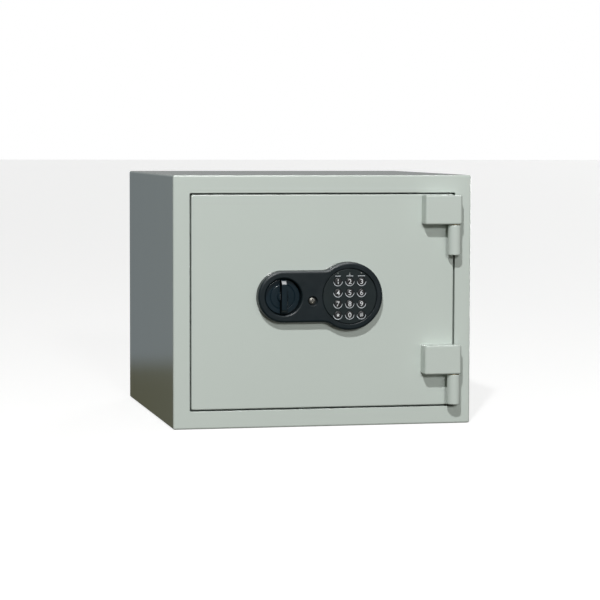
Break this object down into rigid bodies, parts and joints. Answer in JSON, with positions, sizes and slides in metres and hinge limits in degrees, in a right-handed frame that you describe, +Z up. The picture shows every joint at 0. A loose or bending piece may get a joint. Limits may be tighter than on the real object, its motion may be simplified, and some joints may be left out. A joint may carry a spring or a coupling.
{
  "type": "in room safe",
  "caption": "Fire-resistant steel room safe with external hinges, keypad lock, recessed turning knob, sliding bolts, shelf and anchor holes.",
  "frame": {"origin": "centre of the cabinet's base, at floor level", "axes": "+X right seen from the front, +Y to the back, +Z up"},
  "size_m": [0.43, 0.443, 0.355],
  "materials": {
    "shell_paint": "satin",
    "door_paint": "satin",
    "hinge_paint": "satin",
    "liner_paint": "satin",
    "fire_fill": "matte",
    "zinc_steel": "satin",
    "screw_steel": "polished",
    "pin_steel": "satin",
    "bolt_chrome": "polished",
    "washer_brass": "satin",
    "mat_felt": "matte",
    "seal_rubber": "matte",
    "silicone_rubber": "matte",
    "escutcheon_plastic": "satin",
    "fascia_plastic": "satin",
    "board_laminate": "satin",
    "lens_plastic": "gloss",
    "case_plastic": "matte",
    "coil_winding": "satin",
    "cable_jacket": "satin",
    "cell_wrap": "gloss",
    "knob_plastic": "satin",
    "key_plastic": "satin"
  },
  "bodies": {
    "cabinet": {"outer_shell": "shell_paint", "back_panel": "shell_paint", "body_insulation": "fire_fill", "door_frame": "shell_paint", "inner_liner": "liner_paint", "strike_boxes": "zinc_steel", "hinge_knuckles": "hinge_paint", "hinge_pins": "pin_steel", "hinge_washers": "washer_brass", "anchor_sleeves": "zinc_steel", "shelf": "liner_paint", "shelf_brackets": "zinc_steel", "floor_mat": "mat_felt"},
    "door": {"door_skin": "door_paint", "door_insulation": "fire_fill", "door_back_plate": "liner_paint", "door_seal": "seal_rubber", "hinge_blocks": "hinge_paint", "bolt_guides": "zinc_steel", "fixed_bolts": "bolt_chrome", "guide_studs": "zinc_steel", "inner_cover": "liner_paint", "cover_posts": "zinc_steel", "cover_screws": "zinc_steel", "escutcheon": "escutcheon_plastic", "escutcheon_screw": "screw_steel", "keypad_fascia": "fascia_plastic", "contact_mat": "silicone_rubber", "keypad_board": "board_laminate", "indicator_lenses": "lens_plastic", "spindle_bush": "washer_brass", "lock_case": "case_plastic", "lock_screws": "zinc_steel", "solenoid_coil": "coil_winding", "lock_cables": "cable_jacket", "battery_box": "case_plastic", "batteries": "cell_wrap", "pin_spring": "zinc_steel"},
    "knob_shaft": {"knob": "knob_plastic", "spindle": "zinc_steel", "crank": "zinc_steel", "spindle_clip": "zinc_steel"},
    "boltwork": {"bolt_carriage": "zinc_steel", "locking_bolts": "bolt_chrome", "bolt_nuts": "zinc_steel"},
    "lock_plunger": {"locking_pin": "zinc_steel"},
    "battery_hatch": {"battery_lid": "case_plastic"},
    "key_1": {"key_1": "key_plastic"},
    "key_2": {"key_2": "key_plastic"},
    "key_3": {"key_3": "key_plastic"},
    "key_4": {"key_4": "key_plastic"},
    "key_5": {"key_5": "key_plastic"},
    "key_6": {"key_6": "key_plastic"},
    "key_7": {"key_7": "key_plastic"},
    "key_8": {"key_8": "key_plastic"},
    "key_9": {"key_9": "key_plastic"},
    "key_star": {"key_star": "key_plastic"},
    "key_0": {"key_0": "key_plastic"},
    "key_hash": {"key_hash": "key_plastic"}
  },
  "joints": [
    {"name": "door_swing", "type": "hinge", "parent": "cabinet", "child": "door", "pos_m": [0.187, -0.2225, 0.1775], "axis": [0, 0, 1], "range_deg": [0, 180]},
    {"name": "knob_turn", "type": "hinge", "parent": "door", "child": "knob_shaft", "pos_m": [-0.0608, -0.21, 0.1849], "axis": [0, -1, 0], "range_deg": [0, 90]},
    {"name": "bolt_throw", "type": "slide", "parent": "door", "child": "boltwork", "axis": [-1, 0, 0], "range_m": [0, 0.02]},
    {"name": "pin_drop", "type": "slide", "parent": "door", "child": "lock_plunger", "axis": [0, 0, -1], "range_m": [0, 0.006], "deforming": ["pin_spring"]},
    {"name": "battery_lid_slide", "type": "slide", "parent": "door", "child": "battery_hatch", "axis": [0, 0, -1], "range_m": [0, 0.062]},
    {"name": "key_1_press", "type": "slide", "parent": "door", "child": "key_1", "axis": [0, 1, 0], "range_m": [0, 0.0012], "stiffness_N_per_m": 500, "springref_m": -0.0005},
    {"name": "key_2_press", "type": "slide", "parent": "door", "child": "key_2", "axis": [0, 1, 0], "range_m": [0, 0.0012], "stiffness_N_per_m": 500, "springref_m": -0.0005},
    {"name": "key_3_press", "type": "slide", "parent": "door", "child": "key_3", "axis": [0, 1, 0], "range_m": [0, 0.0012], "stiffness_N_per_m": 500, "springref_m": -0.0005},
    {"name": "key_4_press", "type": "slide", "parent": "door", "child": "key_4", "axis": [0, 1, 0], "range_m": [0, 0.0012], "stiffness_N_per_m": 500, "springref_m": -0.0005},
    {"name": "key_5_press", "type": "slide", "parent": "door", "child": "key_5", "axis": [0, 1, 0], "range_m": [0, 0.0012], "stiffness_N_per_m": 500, "springref_m": -0.0005},
    {"name": "key_6_press", "type": "slide", "parent": "door", "child": "key_6", "axis": [0, 1, 0], "range_m": [0, 0.0012], "stiffness_N_per_m": 500, "springref_m": -0.0005},
    {"name": "key_7_press", "type": "slide", "parent": "door", "child": "key_7", "axis": [0, 1, 0], "range_m": [0, 0.0012], "stiffness_N_per_m": 500, "springref_m": -0.0005},
    {"name": "key_8_press", "type": "slide", "parent": "door", "child": "key_8", "axis": [0, 1, 0], "range_m": [0, 0.0012], "stiffness_N_per_m": 500, "springref_m": -0.0005},
    {"name": "key_9_press", "type": "slide", "parent": "door", "child": "key_9", "axis": [0, 1, 0], "range_m": [0, 0.0012], "stiffness_N_per_m": 500, "springref_m": -0.0005},
    {"name": "key_star_press", "type": "slide", "parent": "door", "child": "key_star", "axis": [0, 1, 0], "range_m": [0, 0.0012], "stiffness_N_per_m": 500, "springref_m": -0.0005},
    {"name": "key_0_press", "type": "slide", "parent": "door", "child": "key_0", "axis": [0, 1, 0], "range_m": [0, 0.0012], "stiffness_N_per_m": 500, "springref_m": -0.0005},
    {"name": "key_hash_press", "type": "slide", "parent": "door", "child": "key_hash", "axis": [0, 1, 0], "range_m": [0, 0.0012], "stiffness_N_per_m": 500, "springref_m": -0.0005}
  ],
  "couplings": [
    {"joint": "knob_turn", "follows": "bolt_throw", "rad_per_m": 78.54}
  ]
}
